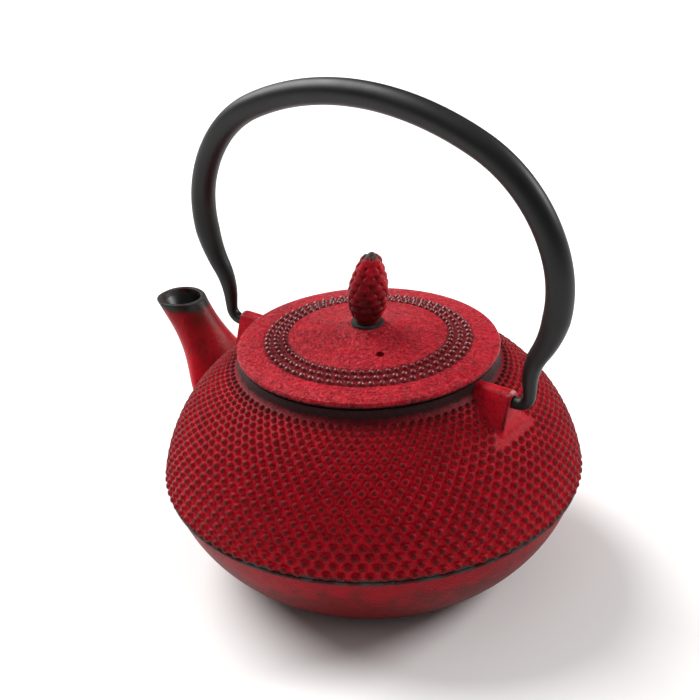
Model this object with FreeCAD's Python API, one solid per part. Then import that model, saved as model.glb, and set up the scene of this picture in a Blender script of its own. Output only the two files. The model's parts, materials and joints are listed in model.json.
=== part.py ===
"""Cast-iron teapot with a swinging bail handle, a lift-off lid and a strainer basket.

Millimetres, +Z up. The origin is the centre of the flat base, on the pot's own axis.
The spout points along -X, and the bail swings about a line along X through both ears.
"""
import FreeCAD, Part
import math
import os

Vector = FreeCAD.Vector
X_AXIS = Vector(1, 0, 0)
Z_AXIS = Vector(0, 0, 1)

# Pot: a lower bowl and an upper shell, each turned from one arc, that meet at a mould seam.
POT_WALL = 3.6
BASE_RADIUS = 50.0
SEAM_HEIGHT = 37.0
SEAM_LEDGE = 0.9
BOWL_CENTRE = (24.2, 51.0)
BOWL_ARC = 58.0
SHELL_CENTRE = (19.6, 29.0)
SHELL_ARC = 62.3

SHELL_MIDDLE = 65.0

# Mouth: a short collar with a recess for the strainer's flange.
COLLAR_RADIUS = 49.5
COLLAR_TOP = 87.2
COLLAR_ROUND = 1.2
RECESS_RADIUS = 45.0
RECESS_FLOOR = 84.7
MOUTH_RADIUS = 41.0

# Spout: sections across one straight axis, cut off level at the mouth and broad where it joins the shell.
# Each section is its distance from the mouth, its half height and its half width.
SPOUT_MOUTH = Vector(-100.0, 0, 84.5)
SPOUT_AXIS = Vector(0.573, 0, -0.819)
SPOUT_WALL = 2.0
SPOUT_SECTIONS = [(-9.0, 8.3, 10.9), (-4.0, 8.5, 10.6), (1.0, 8.8, 10.2), (7.0, 9.2, 9.5),
                  (13.0, 9.3, 9.4), (20.0, 9.9, 10.4), (27.0, 10.2, 13.0), (34.0, 9.6, 16.8),
                  (41.0, 8.2, 19.5), (48.0, 6.0, 20.5)]
SPOUT_OFFCUT = 30.0

# Ears: tent-shaped lugs that hold the ends of the bail.
EAR_REACH = 64.0
EAR_TOP = 86.6
EAR_FOOT = 70.0
EAR_HALF_WIDTH_TOP = 2.4
EAR_HALF_WIDTH_FOOT = 8.4
EAR_ROUND = 1.7
EAR_ROOT = 41.5
EAR_HOLE_RADIUS = 2.4
EAR_HOLE_DEPTH = 7.0

# Bail: a round forged rod, bent in arcs and drawn down to thin hooked ends.
PIVOT_HEIGHT = 82.4
BAIL_RISE = 102.5
BAIL_RADIUS = 4.9
BAIL_ARCS = [(120.0, 24.5), (54.0, 46.5), (44.5, 51.0), (-25.0, 32.0)]
LEG_CUTS = (8, 5, 1)
TAPER_HEIGHT = 36.0
HOOK_RADIUS = 2.3
HOOK_BEND = 4.5
HOOK_TIP = 58.5

# Lid: a shallow dome with a skirt that hangs inside the strainer.
LID_RADIUS = 50.0
LID_RIM_TOP = 90.2
LID_RIM_EDGE = 1.0
LID_THICKNESS = 3.0
LID_BAND_OUTER = (39.8, 91.2)
LID_BAND_INNER = (30.0, 93.0)
LID_CROWN = (11.0, 95.6)
LID_BOSS = (7.0, 97.2)
SKIRT_OUTER = 34.5
SKIRT_WALL = 2.2
SKIRT_BOTTOM = 84.2
VENT_RADIUS = 1.8
VENT_PLACE = (16.0, -14.0)

# Knob: a cast pine-cone bud that leans a little, held by a screw from below.
WASHER_RADIUS = 6.2
WASHER_THICKNESS = 0.8
KNOB_SECTIONS = [(0.0, 5.2), (3.0, 6.0), (8.0, 7.2), (13.0, 7.4),
                 (18.0, 6.5), (23.0, 4.7), (27.0, 2.4), (28.2, 1.0)]
KNOB_LEAN = Vector(2.1, 1.6, 0)
SCREW_RADIUS = 2.0
SCREW_HEAD_RADIUS = 3.8
SCREW_HEAD_HEIGHT = 2.6
SCREW_HEAD_ROUND = 1.2
SCREW_SLOT_WIDTH = 1.0
SCREW_SLOT_DEPTH = 1.0
SCREW_BITE = 12.0
THREAD_OVERLAP = 0.1
SCREW_HOLE_RADIUS = 2.3
INNER_WASHER_RADIUS = 4.6

# Strainer basket: a drawn steel collar, a mesh wall and floor, and a ring that clamps them.
SHEET = 0.5
MESH = 0.4
FLANGE_RADIUS = 44.0
BASKET_RADIUS = 40.4
BASKET_COLLAR_BOTTOM = 74.0
BASKET_BOTTOM = 37.5
MESH_OVERLAP = 4.0
RING_HEIGHT = 4.0
RING_LIP = 3.0


def arc_point(centre, radius, height):
    """Point (radius, height) on the outer side of an arc about a centre in the turning plane."""
    rise = height - centre[1]
    return (centre[0] + math.sqrt(radius ** 2 - rise ** 2), height)


def arc_height(centre, radius, reach):
    """Height at which the upper side of an arc comes in to a distance from the axis."""
    return centre[1] + math.sqrt(radius ** 2 - (reach - centre[0]) ** 2)


def turned(start, *steps):
    """Solid turned about Z. A step is an end point, or a pair: a point passed through and an end."""
    edges = []
    here = Vector(start[0], 0, start[1])
    for step in steps + (start,):
        if isinstance(step[0], tuple):
            through, end = [Vector(point[0], 0, point[1]) for point in step]
            edges.append(Part.Arc(here, through, end).toShape())
        else:
            end = Vector(step[0], 0, step[1])
            edges.append(Part.LineSegment(here, end).toShape())
        here = end
    return Part.Face(Part.Wire(edges)).revolve(Vector(0, 0, 0), Z_AXIS, 360)


def ring(outer, inner, bottom, top):
    """Flat-ended tube about Z."""
    return turned((inner, bottom), (outer, bottom), (outer, top), (inner, top))


def circle(centre, direction, radius):
    """Circular wire for a loft or a sweep."""
    return Part.Wire(Part.makeCircle(radius, centre, direction))


def oval(centre, direction, half_height, half_width):
    """Elliptical wire, wider along Y than across it, square to a direction in the XZ plane."""
    wide = Vector(0, half_width, 0)
    tall = wide.cross(direction).normalize() * half_height
    return Part.Wire(Part.Ellipse(centre + wide, centre + tall, centre).toShape())


def drilled(shape, radius, start, direction, depth):
    """Shape with a round hole cut from a start point along a direction."""
    return shape.cut(Part.makeCylinder(radius, depth, start, direction))


def pot_outside():
    """Outer form of the pot, filled solid."""
    seam = arc_point(BOWL_CENTRE, BOWL_ARC, SEAM_HEIGHT - SEAM_LEDGE / 2)
    lip = arc_point(SHELL_CENTRE, SHELL_ARC, SEAM_HEIGHT + SEAM_LEDGE / 2)
    shoulder = (COLLAR_RADIUS, arc_height(SHELL_CENTRE, SHELL_ARC, COLLAR_RADIUS))
    foot = arc_point(BOWL_CENTRE, BOWL_ARC, 1.0)
    turn = COLLAR_ROUND * (1 - math.sqrt(0.5))
    return turned((0, 0), (BASE_RADIUS, 0), foot,
                  (arc_point(BOWL_CENTRE, BOWL_ARC, SEAM_HEIGHT / 2), seam), lip,
                  (arc_point(SHELL_CENTRE, SHELL_ARC, SHELL_MIDDLE), shoulder),
                  (COLLAR_RADIUS, COLLAR_TOP - COLLAR_ROUND),
                  ((COLLAR_RADIUS - turn, COLLAR_TOP - turn), (COLLAR_RADIUS - COLLAR_ROUND, COLLAR_TOP)),
                  (0, COLLAR_TOP))


def pot_inside():
    """Hollow of the pot, with the mouth and the recess for the strainer."""
    bowl_arc = BOWL_ARC - POT_WALL
    shell_arc = SHELL_ARC - POT_WALL
    neck = (MOUTH_RADIUS, arc_height(SHELL_CENTRE, shell_arc, MOUTH_RADIUS))
    bowl_middle = arc_point(BOWL_CENTRE, bowl_arc, SEAM_HEIGHT / 2)
    bowl_top = arc_point(BOWL_CENTRE, bowl_arc, SEAM_HEIGHT - 1)
    return turned((0, POT_WALL), arc_point(BOWL_CENTRE, bowl_arc, POT_WALL), (bowl_middle, bowl_top),
                  arc_point(SHELL_CENTRE, shell_arc, SEAM_HEIGHT + 1),
                  (arc_point(SHELL_CENTRE, shell_arc, SHELL_MIDDLE), neck),
                  (MOUTH_RADIUS, RECESS_FLOOR), (RECESS_RADIUS, RECESS_FLOOR),
                  (RECESS_RADIUS, COLLAR_TOP + 1), (0, COLLAR_TOP + 1))


def spout(inset):
    """Spout loft that runs on past its mouth, smaller all round by an inset for the channel."""
    wires = []
    for distance, half_height, half_width in SPOUT_SECTIONS:
        centre = SPOUT_MOUTH + SPOUT_AXIS * distance
        wires.append(oval(centre, SPOUT_AXIS, half_height - inset, half_width - inset))
    return Part.makeLoft(wires, True)


def ear(side):
    """One lug, on the +X side (1) or the -X side (-1)."""
    tent = [(-EAR_HALF_WIDTH_FOOT, EAR_FOOT), (EAR_HALF_WIDTH_FOOT, EAR_FOOT),
            (EAR_HALF_WIDTH_TOP, EAR_TOP), (-EAR_HALF_WIDTH_TOP, EAR_TOP)]
    corners = [Vector(EAR_ROOT, y, z) for y, z in tent]
    face = Part.Face(Part.makePolygon(corners + corners[:1]))
    lug = face.extrude(X_AXIS * (EAR_REACH - EAR_ROOT))
    top_edges = [edge for edge in lug.Edges
                 if min(vertex.Z for vertex in edge.Vertexes) > EAR_TOP - 0.01
                 and max(vertex.X for vertex in edge.Vertexes) > EAR_REACH - 0.01]
    lug = lug.makeFillet(EAR_ROUND, top_edges)
    return lug if side > 0 else lug.mirror(Vector(0, 0, 0), X_AXIS)


def pot_body():
    """The pot as one casting: bowl, shell, collar, spout and both ears."""
    hook_holes = [Part.makeCylinder(EAR_HOLE_RADIUS, EAR_HOLE_DEPTH + 1,
                                    Vector(side * (EAR_REACH + 1), 0, PIVOT_HEIGHT), X_AXIS * -side)
                  for side in (1, -1)]
    offcut = Part.makeBox(SPOUT_OFFCUT, SPOUT_OFFCUT, SPOUT_OFFCUT,
                          SPOUT_MOUTH - Vector(SPOUT_OFFCUT / 2, SPOUT_OFFCUT / 2, 0))
    solid = pot_outside().fuse([spout(0).cut(offcut), ear(1), ear(-1)])
    solid = solid.cut([pot_inside(), spout(SPOUT_WALL)] + hook_holes)
    return solid.removeSplitter()


def lid():
    """Lid casting, with its skirt, the vent and the hole for the knob's screw."""
    skirt_inner = SKIRT_OUTER - SKIRT_WALL
    top = [(LID_RADIUS, COLLAR_TOP), (LID_RADIUS, LID_RIM_TOP - LID_RIM_EDGE),
           (LID_RADIUS - LID_RIM_EDGE, LID_RIM_TOP),
           LID_BAND_OUTER, LID_BAND_INNER, LID_CROWN, LID_BOSS, (0, LID_BOSS[1])]
    under = [(0, LID_CROWN[1] - LID_THICKNESS), (LID_CROWN[0], LID_CROWN[1] - LID_THICKNESS),
             (LID_BAND_INNER[0], LID_BAND_INNER[1] - LID_THICKNESS),
             (skirt_inner, COLLAR_TOP + LID_RIM_EDGE), (skirt_inner, SKIRT_BOTTOM),
             (SKIRT_OUTER, SKIRT_BOTTOM), (SKIRT_OUTER, COLLAR_TOP)]
    shape = turned(top[0], *(top[1:] + under))
    drill_height = LID_BOSS[1] - SKIRT_BOTTOM
    for radius, (x, y) in ((VENT_RADIUS, VENT_PLACE), (SCREW_HOLE_RADIUS, (0, 0))):
        shape = drilled(shape, radius, Vector(x, y, SKIRT_BOTTOM), Z_AXIS, drill_height)
    return shape


def knob_foot():
    """Height of the knob's flat foot, on top of its seat washer."""
    return LID_BOSS[1] + WASHER_THICKNESS


def lid_knob():
    """Pine-cone bud: a loft of round sections whose centres drift sideways towards the tip."""
    tall = KNOB_SECTIONS[-1][0]
    wires = []
    for height, radius in KNOB_SECTIONS:
        centre = KNOB_LEAN * (height / tall) ** 1.5 + Vector(0, 0, knob_foot() + height)
        wires.append(circle(centre, Z_AXIS, radius))
    bud = Part.makeLoft(wires, True)
    return drilled(bud, SCREW_RADIUS - THREAD_OVERLAP, Vector(0, 0, knob_foot()), Z_AXIS, SCREW_BITE + 1)


def knob_seat_washer():
    """Thin black washer between the lid's boss and the knob."""
    return ring(WASHER_RADIUS, SCREW_HOLE_RADIUS, LID_BOSS[1], knob_foot())


def inner_washer_bottom():
    """Height of the lower face of the washer under the lid."""
    return LID_CROWN[1] - LID_THICKNESS - WASHER_THICKNESS


def knob_inner_washer():
    """Steel washer under the lid."""
    bottom = inner_washer_bottom()
    return ring(INNER_WASHER_RADIUS, SCREW_HOLE_RADIUS, bottom, bottom + WASHER_THICKNESS)


def knob_screw():
    """Pan-head screw from under the lid into the knob."""
    bottom = inner_washer_bottom()
    top = knob_foot() + SCREW_BITE
    head_bottom = bottom - SCREW_HEAD_HEIGHT
    head = Part.makeCylinder(SCREW_HEAD_RADIUS, SCREW_HEAD_HEIGHT, Vector(0, 0, head_bottom))
    lower_edges = [edge for edge in head.Edges if edge.BoundBox.ZMax < head_bottom + 0.01]
    head = head.makeFillet(SCREW_HEAD_ROUND, lower_edges)
    slot = Part.makeBox(2 * SCREW_HEAD_RADIUS, SCREW_SLOT_WIDTH, SCREW_SLOT_DEPTH,
                        Vector(-SCREW_HEAD_RADIUS, -SCREW_SLOT_WIDTH / 2, head_bottom))
    shank = Part.makeCylinder(SCREW_RADIUS, top - bottom, Vector(0, 0, bottom))
    return head.fuse(shank).cut(slot).removeSplitter()


def bail_path():
    """Edges of the bail's right-hand centre line from the apex down to the top of the hook bend.

    The heading is the angle below +X, in radians.
    """
    here = Vector(0, 0, PIVOT_HEIGHT + BAIL_RISE)
    heading = 0.0
    edges = []
    for radius, turn in BAIL_ARCS:
        side = Vector(-math.sin(heading), 0, -math.cos(heading)) * radius
        centre = here + side
        half, full = [math.copysign(math.radians(turn) * part, radius) for part in (0.5, 1.0)]
        through, end = [centre - Vector(-math.sin(heading + angle), 0, -math.cos(heading + angle)) * radius
                        for angle in (half, full)]
        heading += full
        edges.append(Part.Arc(here, through, end).toShape())
        here = end
    hook_top = Vector(here.x, 0, PIVOT_HEIGHT + HOOK_BEND)
    edges.append(Part.LineSegment(here, hook_top).toShape())
    return edges


def taper_radius(height):
    """Rod radius at a height above the pivot, where the leg is drawn down."""
    share = (height - HOOK_BEND) / (TAPER_HEIGHT - HOOK_BEND)
    return HOOK_RADIUS + (BAIL_RADIUS - HOOK_RADIUS) * min(max(share, 0.0), 1.0)


def bail_half():
    """Right half of the bail: full-size arch, tapered leg, and the hook that enters the ear."""
    path = bail_path()
    arch_wire = Part.Wire(path[:2])
    start = circle(Vector(0, 0, PIVOT_HEIGHT + BAIL_RISE), X_AXIS, BAIL_RADIUS)
    arch = arch_wire.makePipeShell([start], True, True)

    sections = []
    for edge, cuts in zip(path[2:], LEG_CUTS):
        first, last = edge.FirstParameter, edge.LastParameter
        for step in range(cuts):
            where = first + (last - first) * step / cuts
            centre, tangent = edge.valueAt(where), edge.tangentAt(where)
            sections.append(circle(centre, tangent, taper_radius(centre.z - PIVOT_HEIGHT)))
    top = path[-1].valueAt(path[-1].LastParameter)
    sections.append(circle(top, -Z_AXIS, taper_radius(top.z - PIVOT_HEIGHT)))
    leg = Part.makeLoft(sections, True)

    middle = Vector(top.x - HOOK_BEND, 0, top.z)
    corner = middle + Vector(math.sqrt(0.5), 0, -math.sqrt(0.5)) * HOOK_BEND
    inner = Vector(top.x - HOOK_BEND, 0, PIVOT_HEIGHT)
    bend_wire = Part.Wire([Part.Arc(top, corner, inner).toShape()])
    bend = bend_wire.makePipeShell([circle(top, Z_AXIS, HOOK_RADIUS)], True, True)
    stub = Part.makeCylinder(HOOK_RADIUS, inner.x - HOOK_TIP, inner, -X_AXIS)
    return arch.fuse([leg, bend, stub])


def bail_handle():
    """The whole bail, one rod, mirrored about the pot's axis."""
    half = bail_half()
    return half.fuse(half.mirror(Vector(0, 0, 0), X_AXIS)).removeSplitter()


def infuser_collar():
    """Drawn steel collar whose flange sits in the mouth's recess."""
    top = RECESS_FLOOR + SHEET
    return turned((BASKET_RADIUS - SHEET, BASKET_COLLAR_BOTTOM), (BASKET_RADIUS, BASKET_COLLAR_BOTTOM),
                  (BASKET_RADIUS, RECESS_FLOOR), (FLANGE_RADIUS, RECESS_FLOOR),
                  (FLANGE_RADIUS, top), (BASKET_RADIUS - SHEET, top))


def infuser_mesh_wall():
    """Rolled mesh tube, welded inside the collar at the top and clamped by the ring below."""
    outer = BASKET_RADIUS - SHEET
    return ring(outer, outer - MESH, BASKET_BOTTOM + SHEET + MESH, BASKET_COLLAR_BOTTOM + MESH_OVERLAP)


def infuser_mesh_floor():
    """Mesh disc, laid on the ring's inward lip under the mesh tube."""
    radius = BASKET_RADIUS - SHEET
    return Part.makeCylinder(radius, MESH, Vector(0, 0, BASKET_BOTTOM + SHEET))


def infuser_base_ring():
    """Steel angle ring around the bottom edge of the basket."""
    outer, inner = BASKET_RADIUS, BASKET_RADIUS - SHEET
    top, lip_top = BASKET_BOTTOM + RING_HEIGHT, BASKET_BOTTOM + SHEET
    return turned((outer - RING_LIP, BASKET_BOTTOM), (outer, BASKET_BOTTOM), (outer, top),
                  (inner, top), (inner, lip_top), (outer - RING_LIP, lip_top))


PARTS = [pot_body, lid, lid_knob, knob_seat_washer, knob_inner_washer, knob_screw, bail_handle,
         infuser_collar, infuser_mesh_wall, infuser_mesh_floor, infuser_base_ring]


def main():
    """Write each part as its own STEP file, named after its function."""
    os.makedirs("parts", exist_ok=True)
    for make in PARTS:
        shape = make()
        assert shape.isValid() and len(shape.Solids) == 1, make.__name__
        shape.exportStep("parts/%s.step" % make.__name__)
        box = shape.BoundBox
        print("%-20s volume %9.0f  size %.1f x %.1f x %.1f" % (
            make.__name__, shape.Volume, box.XLength, box.YLength, box.ZLength))


if __name__ == "__main__":
    main()
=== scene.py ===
import json
import math

import bmesh
import bpy
from mathutils import Matrix, Quaternion, Vector

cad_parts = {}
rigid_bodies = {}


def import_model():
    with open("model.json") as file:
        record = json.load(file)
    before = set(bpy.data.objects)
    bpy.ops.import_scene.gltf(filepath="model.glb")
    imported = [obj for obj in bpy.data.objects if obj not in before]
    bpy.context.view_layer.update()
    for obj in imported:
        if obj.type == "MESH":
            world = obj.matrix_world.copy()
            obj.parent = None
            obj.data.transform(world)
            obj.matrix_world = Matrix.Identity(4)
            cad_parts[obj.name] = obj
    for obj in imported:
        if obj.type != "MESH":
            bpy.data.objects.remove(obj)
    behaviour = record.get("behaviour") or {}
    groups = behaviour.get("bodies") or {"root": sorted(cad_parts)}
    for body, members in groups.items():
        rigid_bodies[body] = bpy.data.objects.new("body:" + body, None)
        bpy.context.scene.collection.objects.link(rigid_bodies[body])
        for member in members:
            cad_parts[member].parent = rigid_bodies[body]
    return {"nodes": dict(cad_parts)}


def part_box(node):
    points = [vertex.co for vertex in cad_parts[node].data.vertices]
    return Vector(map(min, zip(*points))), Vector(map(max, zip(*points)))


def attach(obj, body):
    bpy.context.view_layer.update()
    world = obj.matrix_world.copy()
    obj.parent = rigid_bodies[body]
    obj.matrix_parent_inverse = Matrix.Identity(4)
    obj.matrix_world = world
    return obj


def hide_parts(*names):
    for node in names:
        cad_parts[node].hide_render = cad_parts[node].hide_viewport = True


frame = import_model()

bl_info = {
    "name": "Hobnail Teapot",
    "version": (1, 0, 0),
    "blender": (4, 5, 0),
    "location": "3D View > Sidebar > Teapot",
    "description": "Builds the looks of a cast-iron teapot on its packed CAD frame",
    "category": "Add Mesh",
}

# ---------------------------------------------------------------- sizes taken from the frame

MM = 0.001
TURN = math.tau
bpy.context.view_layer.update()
POT_LOW, POT_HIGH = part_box("pot_body")
LID_LOW, LID_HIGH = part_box("lid")
KNOB_LOW, KNOB_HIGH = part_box("lid_knob")
BAIL_LOW, BAIL_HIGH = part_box("bail_handle")
WALL_LOW, WALL_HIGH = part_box("infuser_mesh_wall")
FLOOR_LOW, FLOOR_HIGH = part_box("infuser_mesh_floor")

# Outlines in millimetres, as (distance from the axis, height) unless a comment says otherwise.
BOWL_CENTRE, BOWL_ARC = (24.2, 51.0), 58.0
SHELL_CENTRE, SHELL_ARC = (19.6, 29.0), 62.3
SPOUT_MOUTH_X = -100.0 * MM
# Spout sections: distance along its axis from the middle of the mouth, half height, half width.
SPOUT_SECTIONS = [(-9, 8.3, 10.9), (-4, 8.5, 10.6), (1, 8.8, 10.2), (7, 9.2, 9.5), (13, 9.3, 9.4),
                  (20, 9.9, 10.4), (27, 10.2, 13.0), (34, 9.6, 16.8), (41, 8.2, 19.5), (48, 6.0, 20.5)]
LID_TOP = [(46.0, 90.55), (43.0, 90.85), (40.4, 91.1), (39.8, 90.95), (36.0, 91.5), (33.0, 92.0),
           (30.7, 92.4), (30.2, 92.75), (29.4, 93.1), (25.0, 93.75), (20.0, 94.45), (15.0, 95.1),
           (11.6, 95.6), (9.8, 96.1), (8.4, 96.8), (7.4, 97.1), (6.6, 97.2), (0.0, 97.2)]
# Knob sections: height above its foot, radius.
KNOB_SECTIONS = [(0.0, 4.4), (1.4, 4.3), (3.2, 5.0), (5.6, 6.1), (8.5, 6.6), (12.5, 6.8), (16.0, 6.3),
                 (19.5, 5.3), (22.5, 4.2), (25.0, 3.0), (26.9, 1.7), (27.8, 0.7)]
# Bail arcs from the apex outwards: radius and turn in degrees; a negative radius bends back.
BAIL_ARCS = [(120.0, 24.5), (54.0, 46.5), (44.5, 51.0), (-25.0, 32.0)]
SPOUT_AXIS = Vector((0.573, 0, -0.819))
SPOUT_UP = Vector((0.819, 0, 0.573))
# How much wider an ear grows on each side for each millimetre below its ridge.
EAR_SLOPE = 0.36
# Size of the faces that a piece's skin is laid in, fine enough to keep a casting's rounded edges.
SPOUT_GRAIN = 0.4 * MM
EAR_GRAIN = 0.45 * MM
KNOB_GRAIN = 0.26 * MM
# Radius of the fillet where a lug runs into the shell.
SPOUT_FILLET = 3.6
EAR_FILLET = 1.8
# Nub outlines: distance from its own axis, share of its height.
HOBNAIL = [(2.15, -0.12), (1.85, 0.06), (1.55, 0.36), (1.28, 0.72), (0.75, 0.96), (0.0, 1.0)]
LID_NUB = [(1.38, -0.15), (1.20, 0.22), (0.95, 0.62), (0.56, 0.92), (0.0, 1.0)]
# Spacing in its row at which a hobnail has its full size, and row spacing as a share of that spacing.
HOBNAIL_PITCH = 5.0
ROW_SHARE = 0.67
FIRST_ROW = 2.4
# Ring radius at which a lid nub has its full size, and the slope of the lid under the rings.
NUB_RING = 35.0
LID_SLOPE = math.radians(8)
VENT_PLACE = (16.0, -14.0)
SCREW_BORE = 2.3
# Knob scales: heights of the first and the last row, row spacing, spacing in a row, fewest in a row.
SCALE_FIRST, SCALE_LAST, SCALE_RISE, SCALE_PITCH, SCALE_FEWEST = 3.6, 25.5, 3.05, 4.3, 5
# Each scale's depth, its width as a share of its spacing, and its height.
SCALE_DEEP, SCALE_WIDE, SCALE_TALL = 1.05, 0.56, 2.0
# Suns of the studio: name, direction towards it, apparent size in degrees, strength.
SUNS = [("key_light", (-1.0, 0.05, 0.85), 45, 4.6), ("back_light", (0.75, 1.0, 0.75), 24, 2.3),
        ("top_light", (0.1, 0.1, 1.0), 90, 0.5)]


def length(label, about, mm):
    """A length property, given in millimetres."""
    return bpy.props.FloatProperty(name=label, description=about, default=mm * MM, unit="LENGTH", precision=4)


def number(label, about, count):
    """A property that counts repeats."""
    return bpy.props.IntProperty(name=label, description=about, default=count, min=1)


def point(label, about, place):
    """A point in the frame, in metres."""
    return bpy.props.FloatVectorProperty(name=label, description=about, default=place,
                                         subtype="TRANSLATION", unit="LENGTH")


def shade(label, about, code):
    """A colour property, given as an sRGB hex value."""
    return bpy.props.FloatVectorProperty(name=label, description=about, default=linear(code), size=3,
                                         subtype="COLOR", min=0.0, max=1.0)


def linear(code):
    """Linear red, green and blue of an sRGB hex value."""
    parts = [int(code[at:at + 2], 16) / 255 for at in (0, 2, 4)]
    return tuple(part / 12.92 if part <= 0.04045 else ((part + 0.055) / 1.055) ** 2.4 for part in parts)


# ---------------------------------------------------------------- settings a user would change

class TeapotPot(bpy.types.PropertyGroup):
    """Sizes of the pot casting and its hobnails"""
    wall: length("Wall", "Thickness of the casting", 3.6)
    seam: length("Seam Height", "Height of the mould seam", 37.0)
    collar: length("Collar Radius", "Outer radius of the collar round the mouth", 49.5)
    recess: length("Recess Radius", "Radius of the step that holds the strainer", 45.0)
    recess_floor: length("Recess Height", "Height of the step that holds the strainer", 84.7)
    mouth: length("Mouth Radius", "Radius of the opening", 41.0)
    valley: length("Valley", "How far the ground between the hobnails lies under the mean surface", 0.4)
    nub: length("Hobnail Height", "Height of the largest hobnails above the ground", 1.5)
    nubs: number("Hobnails per Row", "Hobnails in each row", 100)
    rows: number("Hobnail Rows", "Rows from the seam to the collar", 19)
    spout_wall: length("Spout Wall", "Thickness of the spout at its lip", 2.0)
    spout_mouth: length("Spout Mouth Height", "Height of the spout's level mouth", 84.5)
    ear_reach: length("Ear Reach", "Distance from the axis to an ear's end face", 64.0)
    ear_top: length("Ear Top", "Height of an ear's ridge", 86.6)
    ear_foot: length("Ear Foot", "Height where an ear's end face leaves the shell", 70.0)


class TeapotLid(bpy.types.PropertyGroup):
    """Sizes of the lid, its rings of nubs and its knob"""
    skirt: length("Skirt Radius", "Outer radius of the skirt", 34.5)
    skirt_wall: length("Skirt Wall", "Thickness of the skirt", 2.2)
    thickness: length("Thickness", "Thickness of the lid casting", 3.0)
    vent: length("Vent Radius", "Radius of the vent hole", 1.7)
    ring_inner: length("Inner Ring", "Radius of the innermost ring of nubs", 31.6)
    ring_step: length("Ring Step", "Distance from one ring to the next", 3.3)
    nubs: number("Nubs per Ring", "Nubs in each ring", 63)
    rings: number("Nub Rings", "Rings of nubs on the lid", 3)
    nub: length("Nub Height", "Height of a lid nub", 1.25)
    knob_lean_x: length("Knob Lean X", "Sideways drift of the knob's tip along X", 2.1)
    knob_lean_y: length("Knob Lean Y", "Sideways drift of the knob's tip along Y", 1.6)


class TeapotBail(bpy.types.PropertyGroup):
    """Sizes of the bail handle"""
    pivot: length("Pivot Height", "Height of the line the bail swings about", 82.4)
    rod: length("Rod Radius", "Radius of the full rod", 4.9)
    hook: length("Hook Radius", "Radius of the drawn-down hook", 2.3)
    hook_bend: length("Hook Bend", "Bend radius of the hook's centre line", 4.5)
    taper: length("Taper Height", "Height above the pivot where the taper starts", 36.0)
    tip: length("Hook Tip", "Distance from the axis to the hook's tip", 58.5)


class TeapotBasket(bpy.types.PropertyGroup):
    """Sizes of the strainer's mesh"""
    pitch: length("Mesh Pitch", "Spacing of the wires, drawn coarser than the real half millimetre", 1.8)
    wire: length("Wire", "Thickness of a wire", 0.38)


class TeapotFinish(bpy.types.PropertyGroup):
    """Colours of the finishes"""
    crimson: shade("Crimson", "Enamel where it is thick", "B6091E")
    maroon: shade("Maroon", "Enamel where it is thin", "6E0713")
    # Rose is the colour of the painted highlight on the ridges of the enamel's grain.
    rose: shade("Rose", "Rubbed high spots of the enamel", "C44A56")
    # Dregs is dark enamel in the wrinkles, on the lid's band and nubs and on worn hobnail tips, and painted
    # shade in the knob's crevices, low on its front and on those tips.
    dregs_and_shade: shade("Dregs", "Enamel darkened in hollows and on worn tips", "390A0B")
    umber: shade("Umber", "Brown staining low on the bowl", "4A1A16")
    # Soot is bare iron on the seam, the spout's lip, the lining and the bail, and painted shade down the
    # ears' corners and on the lid rim's lower edge.
    soot_and_shade: shade("Soot", "Bare black iron in the worn places", "15110F")
    verdigris: shade("Grey Green", "Grey-green bloom on worn black iron", "3C4340")
    # Colour of the pale painted highlight at the end of an ear's ridge.
    pale_highlight: shade("Chalk", "Pale chipped tip of an ear", "C9B9B4")
    # Also laid on the collar, where it is partly painted shade under the lid.
    lining: shade("Lining", "Black enamel inside the pot", "101213")
    lacquer: shade("Lacquer", "Black lacquer of the bail", "0C0B0D")
    steel: shade("Steel", "Stainless steel", "C4C3BF")
    zinc: shade("Zinc", "Zinc plating", "AFB4B8")
    rubber: shade("Rubber", "Black rubber", "121212")
    paper: shade("Paper", "Studio floor", "F4F3F2")


class TeapotStage(bpy.types.PropertyGroup):
    """Camera and light"""
    place: point("Camera Place", "Where the camera stands", (0.26126, -0.33677, 0.29797))
    aim: point("Camera Aim", "Point the camera looks at", (-0.0151, 0.0075, 0.0785))
    roll: bpy.props.FloatProperty(name="Camera Roll", description="Turn about the line of sight",
                                  default=math.radians(-2.72), unit="ROTATION")
    lens: bpy.props.FloatProperty(name="Focal Length", description="Focal length in millimetres",
                                  default=64.2)
    floor: length("Floor Size", "Side of the studio floor", 9000.0)


# ---------------------------------------------------------------- modelling helpers

def deselect():
    """Leaves nothing selected, so that the next operator acts only on what it is given."""
    bpy.ops.object.select_all(action="DESELECT")


def activate(piece):
    """Makes one piece the only selected one."""
    deselect()
    piece.select_set(True)
    bpy.context.view_layer.objects.active = piece
    return piece


def enter(piece):
    """Opens a piece in edit mode with all of it selected."""
    activate(piece)
    bpy.ops.object.mode_set(mode="EDIT")
    bpy.ops.mesh.select_mode(type="VERT")
    bpy.ops.mesh.select_all(action="SELECT")


def leave():
    """Goes back to object mode."""
    bpy.ops.object.mode_set(mode="OBJECT")


def apply_place():
    """Puts the selected piece's place, turn and scale into its mesh."""
    bpy.ops.object.transform_apply(location=True, rotation=True, scale=True)


def face_outwards():
    """In edit mode, turns every face of the closed piece outwards."""
    bpy.ops.mesh.select_all(action="SELECT")
    bpy.ops.mesh.normals_make_consistent(inside=False)


def named(name):
    """The active object under a new name."""
    piece = bpy.context.object
    piece.name = name
    piece.data.name = name
    return piece


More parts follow.
